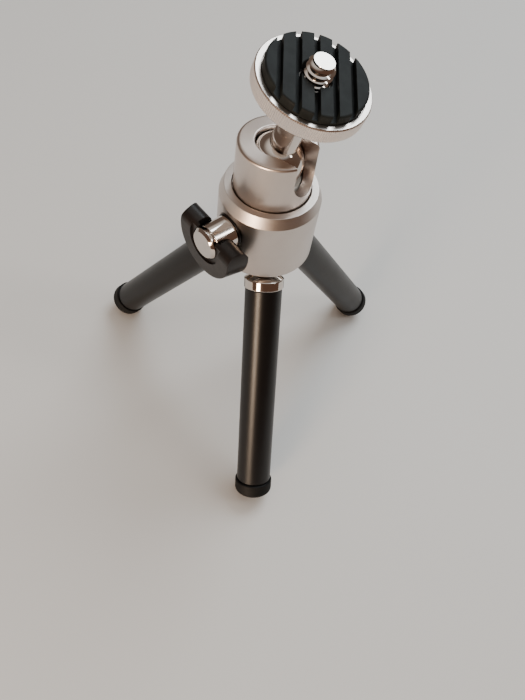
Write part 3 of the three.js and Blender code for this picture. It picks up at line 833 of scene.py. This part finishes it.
def make_leg(number, chrome, paint, rubber):
    place = leg_place(number)
    _, low, _ = span(f"leg_head_{number}", place)
    ferrule_end = FERRULE_TOP + FERRULE_HEIGHT
    shoulder = FERRULE_TOP - FERRULE_CONE_HEIGHT
    outline = [(0, low)] + softened(
        [
            (SPIGOT_RADIUS, low),
            (SPIGOT_RADIUS, -ferrule_end),
            (FERRULE_RADIUS, -ferrule_end, 0.3),
            (FERRULE_RADIUS, -FERRULE_TOP, 0.35),
            (TONGUE_WIDTH / 2 + TONGUE_COLLAR, -shoulder, 0.3),
            (0, -shoulder),
        ]
    )
    head = as_object(f"plated_leg_head_{number}", turned(outline, LEG_HEAD_FACETS), place)
    half = TONGUE_WIDTH / 2
    eye = [(-half, -FERRULE_TOP), (half, -FERRULE_TOP)] + arc(0, 0, half, 0, 180, 24)
    sideways = place @ Matrix(((1, 0, 0, 0), (0, 0, -1, 0), (0, 1, 0, 0), (0, 0, 0, 1)))
    tongue = as_object("tongue", extruded(eye, -TONGUE_THICKNESS / 2, TONGUE_THICKNESS / 2), sideways)
    pin_hole = round_outline(PIVOT_HOLE_RADIUS, 32)
    hole = as_object("hole", extruded(pin_hole, -TONGUE_THICKNESS, TONGUE_THICKNESS), sideways)
    combined(head, "UNION", tongue)
    combined(head, "DIFFERENCE", hole)
    eased_edges(head, 0.12, 2)
    finished(head, chrome, f"leg_{number}", "chrome", f"leg_head_{number}")

    make_tube(f"outer_tube_{number}", place, OUTER_TUBE_BORE, paint, f"leg_{number}", "black_paint")
    make_tube(f"middle_tube_{number}", place, MIDDLE_TUBE_BORE, chrome, f"middle_{number}", "chrome")
    make_tube(f"inner_tube_{number}", place, INNER_TUBE_BORE, chrome, f"foot_{number}", "chrome")

    radius, low, high = span(f"foot_cap_{number}", place)
    socket_floor = high - FOOT_SOCKET_DEPTH
    outline = [(0, low)] + softened(
        [
            (radius, low, FOOT_EDGE),
            (radius, high, FOOT_RIM_EDGE),
            (FOOT_SOCKET_RADIUS, high, 0.2),
            (FOOT_SOCKET_RADIUS, socket_floor),
            (0, socket_floor),
        ],
        8,
    )
    cap = as_object(f"rubber_foot_{number}", turned(outline, SMALL_FACETS), place)
    finished(cap, rubber, f"foot_{number}", "black_rubber", f"foot_cap_{number}")


def make_tube(node, place, bore, material, body, slot):
    """A drawn tube with eased ends."""
    radius, low, high = span(node, place)
    ease = (radius - bore) * 0.4
    outline = softened([(bore, low, ease), (radius, low, ease), (radius, high, ease), (bore, high, ease)])
    tube = as_object(f"drawn_{node}", turned(outline, TUBE_FACETS), place)
    finished(tube, material, body, slot, node)


# ---- the parts inside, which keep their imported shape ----


def dress(material, *nodes):
    for node in nodes:
        frame["nodes"][node].material_slots[0].material = material


# ---- the studio ----


def make_studio():
    bm = bmesh.new()
    bmesh.ops.create_circle(bm, cap_ends=True, segments=96, radius=TABLE_RADIUS)
    table = as_object("table_top", bm, Matrix.Translation(TABLE_CENTRE))
    table.data.materials.append(pale_table())

    soft_light("window_behind", (0.42, 0.5, 0.85), (0, 0, 0.05), (0.6, 0.45), 6, (0.86, 0.95, 1.0))
    soft_light("lamp_front_left", (-0.5, -0.7, 0.17), (0, 0, 0.07), (0.24, 0.26), 9, (1.0, 0.75, 0.54))
    soft_light("strip_right", (0.72, -0.2, 0.78), (0, 0, 0.06), (0.1, 0.5), 1.2, (1.0, 0.98, 0.95))

    world = bpy.data.worlds.new("room")
    world.use_nodes = True
    bpy.context.scene.world = world
    recipe = Recipe(world.node_tree)
    across, depth, height = recipe.parts(recipe.node("ShaderNodeTexCoord", output=0))
    room = recipe.mix((depth + height * 0.5).eased(-0.7, 0.7), (0.11, 0.06, 0.04, 1), (0.14, 0.105, 0.085, 1))
    ceiling = recipe.mix(across.eased(0.05, 0.5), (0.76, 0.72, 0.67, 1), (0.92, 1.0, 1.04, 1))
    sky = recipe.mix((height + across * 0.1 + depth * 0.12).eased(0.55, 0.88), room, ceiling)
    glow = recipe.node("ShaderNodeBackground", {}, {"Color": sky, "Strength": 1.13})
    recipe.node("ShaderNodeOutputWorld", {}, {"Surface": glow})


# ---- build ----

set_camera()
make_studio()

hub_tints = (0.6, 0.545, 0.51, 1), (0.55, 0.495, 0.46, 1)
satin_silver = satin_turned_metal("satin_silver", *hub_tints, 0.34, scuffs=0.9)
cup_silver = satin_turned_metal("satin_silver_cup", (0.64, 0.565, 0.52, 1), (0.6, 0.52, 0.47, 1), 0.32)
# the warm pinkish tint of this aluminium is painted reflection of the warm front lamp and the floor
satin_aluminium = satin_turned_metal("satin_aluminium", (0.76, 0.685, 0.635, 1), (0.7, 0.62, 0.57, 1), 0.32)
chrome = polished_chrome()
steel = dull_steel()
black_paint = satin_black_paint()
black_plastic = moulded_black_plastic()
pad_rubber = soft_rubber("ribbed_pad_rubber", (0.008, 0.0095, 0.0095, 1), 0.6)
foot_rubber = soft_rubber("foot_rubber", (0.0035, 0.0035, 0.0035, 1), 0.62)
nylon = white_nylon()

make_hub(satin_silver)
make_cup(cup_silver)
make_ball(chrome)
make_stud(chrome)
make_platform(satin_aluminium)
make_pad(pad_rubber)
make_knob(chrome, black_plastic, black_plastic)
for leg in range(1, LEG_COUNT + 1):
    make_leg(leg, chrome, black_paint, foot_rubber)
    dress(steel, f"pivot_pin_{leg}")
    dress(nylon, f"middle_bush_{leg}", f"inner_bush_{leg}")
dress(steel, "leg_carrier", "base_screw", "clamp_screw")
dress(satin_aluminium, "clamp_core")
dress(turned_brass(), "clamp_plunger")
dress(nylon, "pressure_seat")
